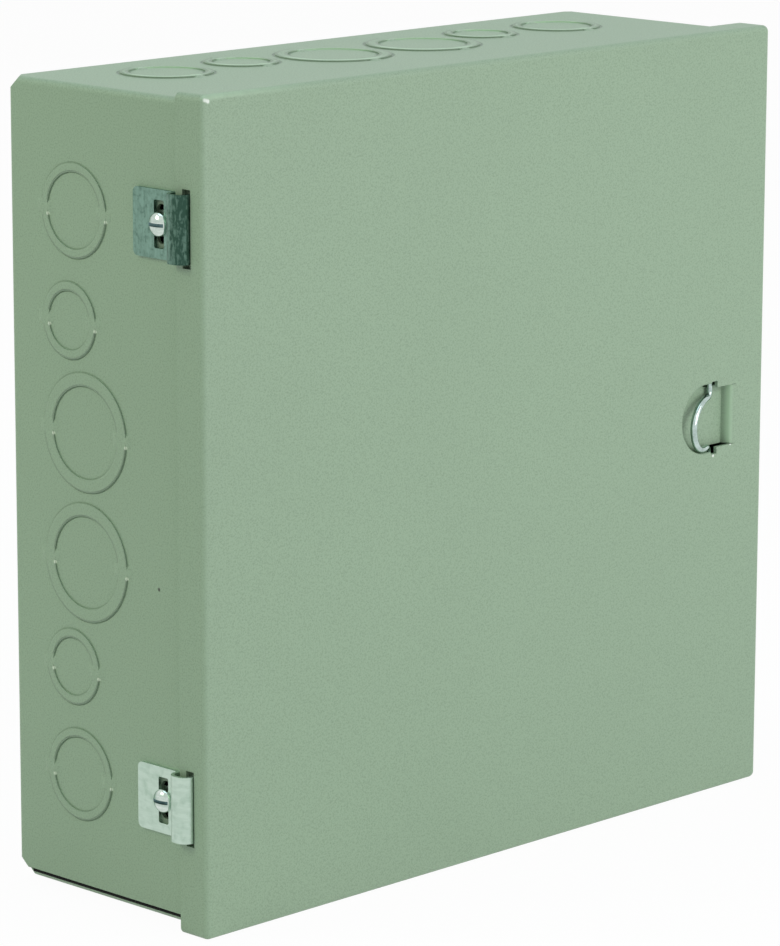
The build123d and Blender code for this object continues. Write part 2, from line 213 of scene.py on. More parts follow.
class ShaderTree:
    """The node tree of one material or of the world."""

    def __init__(self, owner: Union[bpy.types.Material, bpy.types.World]) -> None:
        """Empties the owner's tree.

        Args:
            owner: The material or world.
        """
        owner.use_nodes = True
        self.tree = owner.node_tree
        self.tree.nodes.clear()

    def node(
        self, kind: str, settings: Optional[dict] = None, inputs: Optional[dict] = None
    ) -> bpy.types.Node:
        """Makes any node.

        Args:
            kind: Blender's type of the node.
            settings: Properties of the node, which are set first.
            inputs: Values or links by the name or number of the input.

        Returns:
            The node.
        """
        made = self.tree.nodes.new(kind)
        for name, value in (settings or {}).items():
            setattr(made, name, value)
        for name, value in (inputs or {}).items():
            self._feed(made.inputs[name], value)
        return made

    def _feed(self, socket: Socket, value: Link) -> None:
        """Links a socket, or sets its own value.

        Args:
            socket: The input.
            value: What goes in.
        """
        source = value.socket if isinstance(value, Signal) else value
        if isinstance(source, Socket):
            self.tree.links.new(source, socket)
        else:
            socket.default_value = source

    def signal(
        self,
        kind: str,
        settings: Optional[dict] = None,
        inputs: Optional[dict] = None,
        output: Union[str, int] = 0,
    ) -> Signal:
        """Makes a node and takes one of its outputs as a value.

        Args:
            kind: Blender's type of the node.
            settings: Properties of the node.
            inputs: Values or links of its inputs.
            output: The name or number of the output.

        Returns:
            The output's value.
        """
        return Signal(self, self.node(kind, settings, inputs).outputs[output])

    def place(self) -> Socket:
        """Position on the piece, in metres."""
        return self.node("ShaderNodeTexCoord").outputs["Object"]

    def axes(self, place: Socket) -> tuple[Signal, Signal, Signal]:
        """Splits a position into its three values."""
        parts = self.node("ShaderNodeSeparateXYZ", None, {0: place}).outputs
        return Signal(self, parts[0]), Signal(self, parts[1]), Signal(self, parts[2])

    def flat(self, first: Signal, second: Signal) -> Socket:
        """Position in a plane, from its two values."""
        return self.node("ShaderNodeCombineXYZ", None, {0: first, 1: second}).outputs[0]

    def stretched(self, place: Socket, scale: Point) -> Socket:
        """Scales a position along each axis."""
        settings = {"operation": "MULTIPLY"}
        return self.node("ShaderNodeVectorMath", settings, {0: place, 1: scale}).outputs[0]

    def noise(self, place: Socket, scale: float, detail: float = 2.0) -> Signal:
        """Soft noise from 0 to 1, with that many lumps to the metre."""
        inputs = {"Vector": place, "Scale": scale, "Detail": detail, "Roughness": NOISE_ROUGHNESS}
        return self.signal("ShaderNodeTexNoise", None, inputs, "Fac")

    def mix(self, share: Operand, first: Link, second: Link) -> Socket:
        """Mixes two colours.

        Args:
            share: How much of the second colour there is.
            first: The colour at 0.
            second: The colour at 1.

        Returns:
            The mixed colour.
        """
        made = self.node("ShaderNodeMix", {"data_type": "RGBA"})
        colours = [socket for socket in made.inputs if socket.type == "RGBA"]
        self._feed(made.inputs[0], share)
        for socket, value in zip(colours, (first, second)):
            self._feed(socket, (*value, 1.0) if isinstance(value, tuple) else value)
        return next(socket for socket in made.outputs if socket.type == "RGBA")

    def gap(self, place: Socket, point: Point) -> Signal:
        """Distance from a point."""
        settings = {"operation": "DISTANCE"}
        return self.signal("ShaderNodeVectorMath", settings, {0: place, 1: point}, "Value")

    def bump(self, height: Signal, distance: float, under: Optional[Socket] = None) -> Socket:
        """Normal of a surface with small heights.

        Args:
            height: Heights, as shares of the distance.
            distance: The distance, in metres.
            under: A normal that the heights are added to.

        Returns:
            The new normal.
        """
        inputs = {"Strength": 1.0, "Distance": distance, "Height": height}
        if under is not None:
            inputs["Normal"] = under
        return self.node("ShaderNodeBump", None, inputs).outputs[0]

    def seen(self) -> Signal:
        """One on rays that the camera, a reflection or glass sends out, else nought."""
        rays = self.node("ShaderNodeLightPath").outputs
        kinds = ("Is Camera Ray", "Is Glossy Ray", "Is Transmission Ray")
        camera, glossy, through = (Signal(self, rays[kind]) for kind in kinds)
        return camera.most(glossy).most(through)

    def principled(self, inputs: dict) -> None:
        """Ends the tree with a principled shader that has these inputs."""
        self.surface(self.node("ShaderNodeBsdfPrincipled", None, inputs).outputs[0])

    def surface(self, shader: Socket, kind: str = "ShaderNodeOutputMaterial") -> None:
        """Ends the tree with a shader."""
        self.node(kind, None, {"Surface": shader})


@dataclass(frozen=True)
class Knockout:
    """One pair of concentric shear lines, in millimetres."""

    inner: float
    outer: float
    along: float
    rear: float = 19.7

    @property
    def centre(self) -> float:
        """Distance of the centre from the wall plane."""
        return self.rear + self.outer / 2


KNOCKOUTS = (
    Knockout(34.9, 44.5, 24.4),
    Knockout(22.2, 28.6, 65.25),
    Knockout(28.6, 34.9, 106.1),
)


class WallPlace:
    """Where a point lies on the walls of the box."""

    def __init__(self, tree: ShaderTree, place: Socket, wall: float) -> None:
        """Splits a position and tells the walls apart.

        Args:
            tree: The material's tree.
            place: Position on the box.
            wall: Distance from the middle past which a point is on the left or right wall.
        """
        self.tree = tree
        self.x, y, self.z = tree.axes(place)
        self.depth = 0.0 - y
        self.upright = abs(self.x).above(wall)
        self.level = 1.0 - self.upright
        self.left = 1.0 - self.x.above(-wall)
        self.along = abs(self.z) * self.upright + abs(self.x) * self.level
        self.flat = tree.flat(self.depth, self.along)


class KnockoutPlace:
    """Where a point lies in one knockout, on whichever wall it is."""

    def __init__(self, spot: WallPlace, knockout: Knockout) -> None:
        """Measures from the knockout's centre.

        Along a level wall, ends is how far out a point lies from rear left to front right, and
        near how far it lies to the front left. Both are shares of the outer radius.

        Args:
            spot: The point.
            knockout: The knockout.
        """
        self.knockout = knockout
        centre, along = knockout.centre * MM, knockout.along * MM
        self.radius = spot.tree.gap(spot.flat, (centre, along, 0.0))
        self.off_centre = spot.along - along
        sideways = self.off_centre * spot.x.sign()
        forward = spot.depth - centre
        share = math.sqrt(2.0) / (knockout.outer * MM)
        self.ends = abs(forward + sideways) * share
        self.near = (forward - sideways) * share


@dataclass(frozen=True)
class Marks:
    """Paint with the marks of one piece: its colour, how far it is pressed in, and its gaps,
    which are painted black as shadow and made metallic so that they show no sheen.
    """

    colour: Socket
    pressed: Optional[Signal] = None
    shadow_gaps: Operand = 0.0


@dataclass(frozen=True)
class PowderCoat:
    """Satin grey-green powder coat with a fine pebbled skin."""

    name: str = "powder_coat"
    colour: Colour = linear(153, 178, 151)
    cloud_scale: float = 9.0
    cloud_detail: float = 3.0
    cloud_span: Span = (0.3, 0.7)
    cloud_depth: float = 0.012
    grain_scale: float = 1700.0
    grain_span: Span = (0.4, 0.75)
    grain_depth: float = 0.72
    grain_shade: float = 0.7
    peel_height: float = 0.045 * MM
    press_depth: float = 0.3 * MM
    roughness: float = 0.5
    grain_gloss: float = 0.16
    cloud_gloss: float = 0.08

    def shade(self, share: float) -> Colour:
        """The paint's colour, lighter or darker by a share."""
        red, green, blue = (min(1.0, value * share) for value in self.colour)
        return red, green, blue

    def marks(self, tree: ShaderTree, place: Socket, colour: Socket) -> Marks:
        """Adds the marks that one piece has; plain paint has none.

        Args:
            tree: The material's tree.
            place: Position on the piece.
            colour: The paint's colour so far.

        Returns:
            The marked paint.
        """
        return Marks(colour)

    def material(self) -> bpy.types.Material:
        """Builds the finish.

        Returns:
            The material.
        """
        made = bpy.data.materials.new(self.name)
        tree = ShaderTree(made)
        place = tree.place()
        cloud = tree.noise(place, self.cloud_scale, self.cloud_detail)
        grain = tree.noise(place, self.grain_scale)
        dark, pale = self.shade(1 - self.cloud_depth), self.shade(1 + self.cloud_depth)
        colour = tree.mix(cloud.ramp(*self.cloud_span), dark, pale)
        pits = grain.ramp(*self.grain_span) * self.grain_depth
        colour = tree.mix(pits, colour, self.shade(self.grain_shade))
        marks = self.marks(tree, place, colour)
        normal = tree.bump(grain, self.peel_height)
        if marks.pressed is not None:
            normal = tree.bump(1.0 - marks.pressed, self.press_depth, normal)
        least = self.roughness - (self.grain_gloss + self.cloud_gloss) / 2
        # Metallic is one in the seam's painted shadow, so that it stays black without sheen.
        tree.principled(
            {
                "Base Color": marks.colour,
                "Metallic": marks.shadow_gaps,
                "Roughness": grain * self.grain_gloss + cloud * self.cloud_gloss + least,
                "Normal": normal,
            }
        )
        return made


@dataclass(frozen=True)
class BoxCoat(PowderCoat):
    """The box's paint: knockout lines with painted shade, painted highlights on their rims and
    below their tabs, painted shadow in the lap seam and hinge slots, and a speck.
    """

    name: str = "powder_coat_box"
    wall: float = 151.7 * MM
    # Knockout lines: a dark shear joint, with painted shade on edges that face down and on the
    # ends and near sides of the rings on the level walls.
    line_width: float = 0.6 * MM
    line_core: float = 0.3
    line_depth: float = 0.26
    line_shade: float = 0.4
    lit_span: Span = (0.6, -0.3)
    lit_share: float = 0.3
    level_share: float = 1.5
    level_spread: float = 2.2
    inner_ends: Span = (0.4, 0.8)
    outer_ends: Span = (0.5, 0.9)
    outer_near: Span = (-0.2, 0.3)
    tab_width: float = 4.4 * MM
    tab_fade: Span = (0.5, 0.75)
    # Painted highlights on the rims of the knockouts on the top and bottom walls.
    crest_reach: float = 2.2 * MM
    rim_highlight_lift: float = 1.4
    crest_fade: Span = (0.9, 0.5)
    crest_near: Span = (0.2, 0.7)
    edge_fade: Span = (0.4, 0.2)
    edge_far: Span = (-0.2, -0.7)
    # Painted highlights: glints on the shear lines of the left wall, below the tabs.
    glint_colour: Colour = linear(222, 235, 214)
    glint_drop: float = 0.55
    glint_radius: float = 0.95 * MM
    glint_core: float = 0.3
    # Painted shadow: black in the lap seam, and darker in the hinge slots.
    shadow_colour: Colour = linear(14, 18, 14)
    seam: Span = (-150.6 * MM, -148.6 * MM)
    seam_side: float = -148.6 * MM
    slot_rise: float = 106.5 * MM
    slot_depth: float = 84.0 * MM
    slot_half: Span = (2.9 * MM, 9.4 * MM)
    slot_shade: float = 0.45
    speck: Point = (-152.4 * MM, -81.0 * MM, -28.0 * MM)
    speck_colour: Colour = linear(62, 66, 58)
    speck_radius: float = 1.0 * MM
    speck_core: float = 0.4
    speck_grain: float = 900.0

    def shear_lines_and_shade(self, spot: WallPlace, places: list[KnockoutPlace]) -> Signal:
        """How dark the lines are that the knockouts are sheared along, but for their tabs.

        Each line is a dark shear joint with painted shade. On the left and right walls, edges
        that face up are lit and weaker, and edges that face down carry the painted shade in full.
        On the top and bottom walls, painted shade darkens each ring toward its rear left and
        front right ends, and along the near side of each outer ring.

        Args:
            spot: The point on the box.
            places: The point in each knockout.

        Returns:
            About one on a line and nought off it.
        """
        above = spot.z.sign()
        thin = spot.upright.ramp(0.0, 1.0, 1 / self.level_spread, 1.0)
        level = spot.level * self.level_share
        fade_from, fade_to = (share * self.tab_width for share in self.tab_fade)
        total: Operand = 0.0
        for place in places:
            tabs = abs(place.off_centre).ramp(fade_from, fade_to)
            outer = place.near.ramp(*self.outer_near).most(place.ends.ramp(*self.outer_ends))
            for size, facing, share in (
                (place.knockout.inner, -1.0, place.ends.ramp(*self.inner_ends)),
                (place.knockout.outer, 1.0, outer),
            ):
                radius = size / 2 * MM
                line = (abs(place.radius - radius) * thin).within(self.line_width, self.line_core)
                up = place.off_centre * above * (facing / radius)
                lit = up.ramp(*self.lit_span, self.lit_share, 1.0)
                total = line * tabs * (lit * spot.upright + share * level) + total
        return total

    def rim_highlights(self, spot: WallPlace, places: list[KnockoutPlace]) -> Signal:
        """Where painted highlights lie on the knockouts of the level walls: across the near side
        of each outer ring and along the far side of each inner line.

        Args:
            spot: The point on the box.
            places: The point in each knockout.

        Returns:
            One on a painted highlight and nought off it.
        """
        crest = [share * self.crest_reach for share in self.crest_fade]
        edge = [share * self.crest_reach for share in self.edge_fade]
        total: Operand = 0.0
        for place in places:
            middle = place.knockout.outer / 2 * MM - self.crest_reach
            rim = abs(place.radius - middle).ramp(*crest)
            total = rim * place.near.ramp(*self.crest_near) + total
            inner = abs(place.radius - place.knockout.inner / 2 * MM).ramp(*edge)
            total = inner * place.near.ramp(*self.edge_far) + total
        return total * spot.level

    def glints(self, spot: WallPlace) -> Signal:
        """Where a painted highlight, a glint, sits on a shear line of the left wall, below each
        tab.

        Args:
            spot: The point on the box.

        Returns:
            One on a glint and nought off it.
        """
        below = self.glint_drop * self.tab_width
        flat = spot.tree.flat(spot.depth, abs(spot.z + below))
        total: Operand = 0.0
        for knockout in KNOCKOUTS:
            for size, side in ((knockout.inner, -1.0), (knockout.outer, 1.0)):
                reach = math.sqrt((size / 2 * MM) ** 2 - below**2)
                burr = (knockout.centre * MM + side * reach, knockout.along * MM, 0.0)
                gap = spot.tree.gap(flat, burr)
                total = gap.within(self.glint_radius, self.glint_core) + total
        return total * spot.left

    def lap_seam_shadow(self, spot: WallPlace) -> Signal:
        """One in the open lap along the foot of the left wall, which is painted black as its
        shadow, else nought.
        """
        low, high = self.seam
        side = 1.0 - spot.x.above(self.seam_side)
        return spot.z.above(low) * (1.0 - spot.z.above(high)) * side

    def hinge_slots(self, spot: WallPlace) -> Signal:
        """One in the slots behind the hinge leaves, where the wall is darkened as painted shade,
        else nought.
        """
        wide, tall = self.slot_half
        across = (wide - abs(spot.depth - self.slot_depth)).above(0.0)
        upward = (tall - abs(abs(spot.z) - self.slot_rise)).above(0.0)
        return across * upward * (1.0 - spot.x.above(0.0))

    def marks(self, tree: ShaderTree, place: Socket, colour: Socket) -> Marks:
        """Adds the knockouts' lines with painted shade, the painted highlights on their rims and
        below their tabs, the painted shadow in the seam and the slots, and the speck.

        Args:
            tree: The material's tree.
            place: Position on the piece.
            colour: The paint's colour so far.

        Returns:
            The marked paint, pressed in along the lines.
        """
        spot = WallPlace(tree, place, self.wall)
        places = [KnockoutPlace(spot, knockout) for knockout in KNOCKOUTS]
        lines, seam = self.shear_lines_and_shade(spot, places), self.lap_seam_shadow(spot)
        # Painted highlights on the rims of the level walls' knockouts.
        colour = tree.mix(self.rim_highlights(spot, places), colour, self.shade(self.rim_highlight_lift))
        # Dark shear joints with painted shade along the knockout lines.
        colour = tree.mix(lines * self.line_depth, colour, self.shade(self.line_shade))
        # Painted glints below the tabs of the left wall.
        colour = tree.mix(self.glints(spot), colour, self.glint_colour)
        # Painted shadow in the lap seam and, weaker, in the hinge slots.
        dark = seam.most(self.hinge_slots(spot) * self.slot_shade)
        colour = tree.mix(dark, colour, self.shadow_colour)
        ragged = (tree.noise(place, self.speck_grain) - 0.5) * self.speck_radius
        speck = (tree.gap(place, self.speck) + ragged).within(self.speck_radius, self.speck_core)
        return Marks(tree.mix(speck, colour, self.speck_colour), lines, seam)


@dataclass(frozen=True)
class CoverCoat(PowderCoat):
    """The cover's paint: painted highlights along its bends, at its top left corner and at two
    spots on the latch, and painted light on the latch ramp.
    """

    name: str = "powder_coat_cover"
    # Painted light that lifts the latch ramp toward the brightness of the front.
    ramp_left: Span = (133.7 * MM, 134.0 * MM)
    ramp_right: Span = (136.7 * MM, 135.0 * MM)
    ramp_rise: Span = (12.1 * MM, 11.5 * MM)
    ramp_depth: Span = (103.6 * MM, 106.8 * MM)
    ramp_light: float = 1.66
    # Painted highlights along the cover's bends: along the top near the left corner, and weaker
    # on the other edges.
    bend_edge: Span = (152.6 * MM, 153.8 * MM)
    bend_front: Span = (105.6 * MM, 106.8 * MM)
    wear_and_painted_light: float = 1.24
    highlight_top: Span = (-92.0 * MM, -146.0 * MM)
    highlight_scale: float = 240.0
    highlight_span: Span = (0.3, 0.7)
    highlight_least: float = 0.65
    side_share: float = 0.3
    # Painted highlights: white spots at the top left corner and at two spots on the latch.
    highlight_colour: Colour = linear(238, 246, 236)
    highlight_core: float = 0.35
    corner: tuple[Point, ...] = (
        (-153.1 * MM, -107.2 * MM, 152.9 * MM),
        (-152.5 * MM, -107.4 * MM, 152.7 * MM),
        (-151.9 * MM, -107.6 * MM, 152.5 * MM),
    )
    corner_glint_radius: float = 1.05 * MM
    latch_glints: tuple[Point, ...] = (
        (134.9 * MM, -107.8 * MM, -12.1 * MM),
        (124.4 * MM, -107.8 * MM, -15.5 * MM),
    )
    latch_glint_radius: float = 0.8 * MM

    def marks(self, tree: ShaderTree, place: Socket, colour: Socket) -> Marks:
        """Adds the painted light on the latch ramp, and the painted highlights along the bends,
        at the corner and on the latch.

        Args:
            tree: The material's tree.
            place: Position on the piece.
            colour: The paint's colour so far.

        Returns:
            The marked paint.
        """
        x, y, z = tree.axes(place)
        depth = 0.0 - y
        # Painted light on the latch ramp.
        ramp = abs(z).ramp(*self.ramp_rise) * depth.ramp(*self.ramp_depth)
        ramp = ramp * x.ramp(*self.ramp_left) * x.ramp(*self.ramp_right)
        colour = tree.mix(ramp, colour, self.shade(self.ramp_light))
        # Painted highlights along the bends, in patches.
        sides = abs(x).most(0.0 - z).ramp(*self.bend_edge) * self.side_share
        upper = z.ramp(*self.bend_edge) * x.ramp(*self.highlight_top)
        patches = tree.noise(place, self.highlight_scale).ramp(*self.highlight_span, self.highlight_least, 1.0)
        wear_and_painted_light = upper.most(sides) * depth.ramp(*self.bend_front) * patches
        colour = tree.mix(wear_and_painted_light, colour, self.shade(self.wear_and_painted_light))
        # Painted highlights at the corner and on the latch.
        spots = [(spot, self.corner_glint_radius) for spot in self.corner]
        spots += [(spot, self.latch_glint_radius) for spot in self.latch_glints]
        highlights: Operand = 0.0
        for spot, radius in spots:
            highlights = tree.gap(place, spot).within(radius, self.highlight_core).most(highlights)
        return Marks(tree.mix(highlights, colour, self.highlight_colour))


@dataclass(frozen=True)
class PlatedSteel:
    """Plated steel with fine drawn streaks, a few dull blotches and a painted reflection that
    darkens one side.
    """

    name: str
    colour: Colour
    dull_and_reflected: Colour
    roughness: float = 0.3
    streaks: Point = (160.0, 160.0, 620.0)
    streak_detail: float = 3.0
    streak_span: Span = (0.35, 0.65)
    streak_depth: float = 0.3
    blotch_scale: float = 260.0
    blotch_detail: float = 4.0
    blotch_span: Span = (0.45, 0.75)
    blotch_reach: float = 0.5
    # Painted reflection: a darker, duller tint to one side, in patches.
    painted_reflection: float = 0.0
    painted_reflection_depth: Span = (91.0 * MM, 99.0 * MM)
    painted_reflection_span: Span = (0.3, 0.7)
    painted_reflection_least: float = 0.6
    dull_gloss: float = 0.22
    scratch_height: float = 0.01 * MM

    def material(self) -> bpy.types.Material:
        """Builds the finish.

        Returns:
            The material.
        """
        made = bpy.data.materials.new(self.name)
        tree = ShaderTree(made)
        place = tree.place()
        streak = tree.noise(tree.stretched(place, self.streaks), 1.0, self.streak_detail)
        blotch = tree.noise(place, self.blotch_scale, self.blotch_detail)
        # Painted reflection toward one side, added to the dull streaks and blotches.
        _, y, _ = tree.axes(place)
        patches = streak.ramp(*self.painted_reflection_span, self.painted_reflection_least, 1.0)
        painted_reflection = (0.0 - y).ramp(*self.painted_reflection_depth) * patches * self.painted_reflection
        wear_and_painted_light = streak.ramp(*self.streak_span) * self.streak_depth
        wear_and_painted_light = wear_and_painted_light + blotch.ramp(*self.blotch_span) * self.blotch_reach
        wear_and_painted_light = (wear_and_painted_light + painted_reflection).least(1.0)
        tree.principled(
            {
                "Base Color": tree.mix(wear_and_painted_light, self.colour, self.dull_and_reflected),
                "Metallic": 1.0,
                "Roughness": wear_and_painted_light * self.dull_gloss + self.roughness,
                "Normal": tree.bump(streak, self.scratch_height),
            }
        )
        return made


# The upper leaf's painted reflection darkens the front of its hook.
DULL_ZINC = PlatedSteel(
    "zinc_dull",
    linear(124, 156, 142),
    linear(56, 84, 72),
    roughness=0.38,
    streaks=(900.0, 900.0, 260.0),
    streak_depth=0.2,
    blotch_scale=620.0,
    blotch_reach=0.4,
    painted_reflection=0.95,
)
BRIGHT_ZINC = PlatedSteel(
    "zinc_bright", linear(188, 208, 194), linear(160, 184, 168), roughness=0.36
)
# The screws' painted reflection darkens and greens the rear of each head.
BRIGHT_SCREW = PlatedSteel(
    "bright_screw",
    linear(208, 219, 212),
    linear(112, 148, 126),
    roughness=0.07,
    blotch_reach=0.25,
    painted_reflection=1.0,
    painted_reflection_depth=(83.4 * MM, 80.2 * MM),
)
# Painted shade in the drive slots of the screws.
DRIVE_SHADE = PlatedSteel("drive_slot_shade", linear(98, 124, 126), linear(60, 84, 84), roughness=0.4)
BRIGHT_RING = PlatedSteel(
    "bright_ring", linear(192, 210, 204), linear(130, 150, 144), roughness=0.07
)


def turns(count: int) -> list[float]:
    """Angles of a full turn in equal steps."""
    return [2 * math.pi * k / count for k in range(count)]


def skin(mesh: bmesh.types.BMesh, rings: list[list[bmesh.types.BMVert]]) -> None:
    """Joins each ring of points to the next with faces.

    Args:
        mesh: Takes the faces.
        rings: Rings of as many points each.
    """
    for low, high in zip(rings, rings[1:]):
        for k, start in enumerate(low):
            after = (k + 1) % len(low)
            mesh.faces.new((start, low[after], high[after], high[k]))


def smooth(piece: bpy.types.Object, angle: float) -> None:
    """Shades a piece smooth across edges flatter than an angle.

    Args:
        piece: The piece.
        angle: The angle, in degrees.
    """
    piece.data.shade_smooth()
    piece.data.set_sharp_from_angle(angle=math.radians(angle))


def add_mesh(name: str, mesh: bmesh.types.BMesh, smooth_angle: float = 35.0) -> bpy.types.Object:
    """Turns a bmesh into a piece of the scene.

    Args:
        name: Name of the piece.
        mesh: Its shape, in metres. It is freed.
        smooth_angle: Edges flatter than this are shaded smooth, in degrees.

    Returns:
        The piece.
    """
    bmesh.ops.recalc_face_normals(mesh, faces=mesh.faces)
    data = bpy.data.meshes.new(name)
    mesh.to_mesh(data)
    mesh.free()
    piece = bpy.data.objects.new(name, data)
    bpy.context.scene.collection.objects.link(piece)
    smooth(piece, smooth_angle)
    return piece


def dress(
    piece: bpy.types.Object, material: bpy.types.Material
) -> None:
    """Gives a piece its finish.

    Args:
        piece: The piece.
        material: The finish.
    """
    piece.data.materials.clear()
    piece.data.materials.append(material)


def tube(path: list[Vector], radii: list[float], sides: int) -> bmesh.types.BMesh:
    """Sweeps a round section along a path.

    Args:
        path: Points of the path.
        radii: Radius of the section at each point.
        sides: Number of sides of the section.

    Returns:
        The swept shape, closed at both ends.
    """
    mesh = bmesh.new()
    last = len(path) - 1
    tangents = [
        (path[min(i + 1, last)] - path[max(i - 1, 0)]).normalized() for i in range(len(path))
    ]
    across = tangents[0].orthogonal().normalized()
    rings = []
    for point, tangent, radius in zip(path, tangents, radii):
        across = (across - tangent * across.dot(tangent)).normalized()
        beside = tangent.cross(across)
        spokes = [math.cos(a) * across + math.sin(a) * beside for a in turns(sides)]
        rings.append([mesh.verts.new(point + radius * spoke) for spoke in spokes])
    skin(mesh, rings)
    mesh.faces.new(rings[0])
    mesh.faces.new(rings[-1])
    return mesh


@dataclass
class LatchRing:
    """Bright pull ring: a half ring with a pin turned out at each end, in millimetres."""

    pivot: Point = (124.85, -104.9, -1.0)
    wire: float = 2.4
    swell: float = 0.4
    radius: float = 11.2
    upper: float = 9.2
    length: float = 13.8
    bend: float = 2.4
    pin_reach: float = 24.4
    proud_angle: float = 15.0
    sag: float = 1.6
    sides: int = 24
    arc_steps: int = 40
    bend_steps: int = 10
    smooth_angle: float = 60.0

    def elbow(self) -> list[tuple[float, float]]:
        """Bend between a pin and the half ring, from the pin on, as reach and rise."""
        angles = [0.5 * math.pi * k / self.bend_steps for k in range(self.bend_steps + 1)]
        return [(self.bend * (1 - math.cos(a)), self.bend * (1 - math.sin(a))) for a in angles]

    def path(self) -> list[Vector]:
        """Centre line of the bar.

        Returns:
            Its points, in metres.
        """
        flat = [(0.0, self.pin_reach)]
        flat += [(along, self.upper + rise) for along, rise in self.elbow()]
        for k in range(self.arc_steps + 1):
            a = 0.5 * math.pi - math.pi * k / self.arc_steps
            rise = (self.upper if a > 0 else self.radius) * math.sin(a)
            flat.append((self.length - self.radius + self.radius * math.cos(a), rise))
        flat += [(along, -self.radius - rise) for along, rise in reversed(self.elbow())]
        flat.append((0.0, -self.pin_reach))
        out = math.radians(self.proud_angle)
        origin, reach = Vector(self.pivot), Vector((-math.cos(out), -math.sin(out), 0.0))
        points = []
        for along, rise in flat:
            share = along / self.length
            drop = self.sag * share * share * (3 - 2 * share)
            points.append((origin + along * reach + Vector((0.0, 0.0, rise - drop))) * MM)
        return points

    def build(self, chrome: bpy.types.Material) -> bpy.types.Object:
        """Makes the ring in place of its plainer solid.

        Args:
            chrome: Its finish.

        Returns:
            The piece.
        """
        path = self.path()
        start, bend = self.pivot[0] * MM, self.bend * MM
        shares = [min(1.0, (start - point.x) / bend) for point in path]
        radii = [(self.wire + self.swell * share) / 2 * MM for share in shares]
        piece = add_mesh("latch_ring_bar", tube(path, radii, self.sides), self.smooth_angle)
        dress(piece, chrome)
        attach(piece, Body.LATCH.value)
        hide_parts("latch_ring")
        return piece


@dataclass
class KnockoutTrim:
    """Knockout tabs, and the inner lines of the two plainer walls, in millimetres."""

    half: float = 152.4
    raised: float = 0.5
    tab_length: float = 5.0
    tab_width: float = 5.0
    tab_rise: float = 0.04
    tab_top_share: float = 0.36
    ridge_width: float = 0.5
    ridge_rise: float = 0.2
    ridge_top_share: float = 0.4
    ridge_root: float = -0.1
    segments: int = 72
    smooth_angle: float = 30.0

    def spot(self, wall: Wall, depth: float, along: float, out: float) -> Vector:
        """A point on a wall.

        Args:
            wall: The wall.
            depth: Distance from the wall plane, in millimetres.
            along: Place along the wall.
            out: Height over the wall.

        Returns:
            The point, in metres.
        """
        facing = Vector(wall.value)
        run = Vector((0.0, 0.0, 1.0)) if facing.x else Vector((1.0, 0.0, 0.0))
        return (facing * (self.half + out) + run * along + Vector((0.0, -depth, 0.0))) * MM

    def tab(self, mesh: bmesh.types.BMesh, wall: Wall, depth: float, along: float) -> None:
        """Adds one tab with sloping sides.

        Args:
            mesh: Takes the tab.
            wall: The wall that it is on.
            depth: Distance of its middle from the wall plane.
            along: Place of its middle along the wall.
        """
        rings = []
        for share, out in ((1.0, 0.0), (self.tab_top_share, self.raised + self.tab_rise)):
            long, wide = share * self.tab_length / 2, share * self.tab_width / 2
            corners = ((long, wide), (-long, wide), (-long, -wide), (long, -wide))
            points = [self.spot(wall, depth + d, along + a, out) for d, a in corners]
            rings.append([mesh.verts.new(point) for point in points])
        skin(mesh, rings)
        mesh.faces.new(rings[-1])
        mesh.faces.new(rings[0])

    def ridge(
        self, mesh: bmesh.types.BMesh, wall: Wall, knockout: Knockout, along: float
    ) -> None:
        """Adds a low ridge on the inner line of a knockout.

        Args:
            mesh: Takes the ridge.
            wall: The wall that it is on.
            knockout: The knockout.
            along: Place of its centre along the wall.
        """
        top, low, high = self.ridge_top_share, self.ridge_root, self.ridge_rise
        rings = []
        for wide, rise in ((-1.0, low), (-top, high), (top, high), (1.0, low)):
            radius = knockout.inner / 2 + wide * self.ridge_width
            ring = []
            for a in turns(self.segments):
                depth = knockout.centre + radius * math.cos(a)
                place = along + radius * math.sin(a)
                ring.append(mesh.verts.new(self.spot(wall, depth, place, self.raised + rise)))
            rings.append(ring)
        skin(mesh, rings + rings[:1])

    def build(self, paint: bpy.types.Material) -> bpy.types.Object:
        """Makes the tabs of all four walls, and the ridges of the right and bottom ones.

        Args:
            paint: Their finish.

        Returns:
            The piece.
        """
        mesh = bmesh.new()
        for wall in Wall:
            plain = wall in (Wall.RIGHT, Wall.BOTTOM)
            for knockout in KNOCKOUTS:
                sizes = (knockout.outer,) if plain else (knockout.inner, knockout.outer)
                for along in (knockout.along, -knockout.along):
                    for size in sizes:
                        for depth in (knockout.centre - size / 2, knockout.centre + size / 2):
                            self.tab(mesh, wall, depth, along)
                    if plain:
                        self.ridge(mesh, wall, knockout, along)
        piece = add_mesh("knockout_trim", mesh, self.smooth_angle)
        dress(piece, paint)
        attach(piece, Body.BOX.value)
        return piece


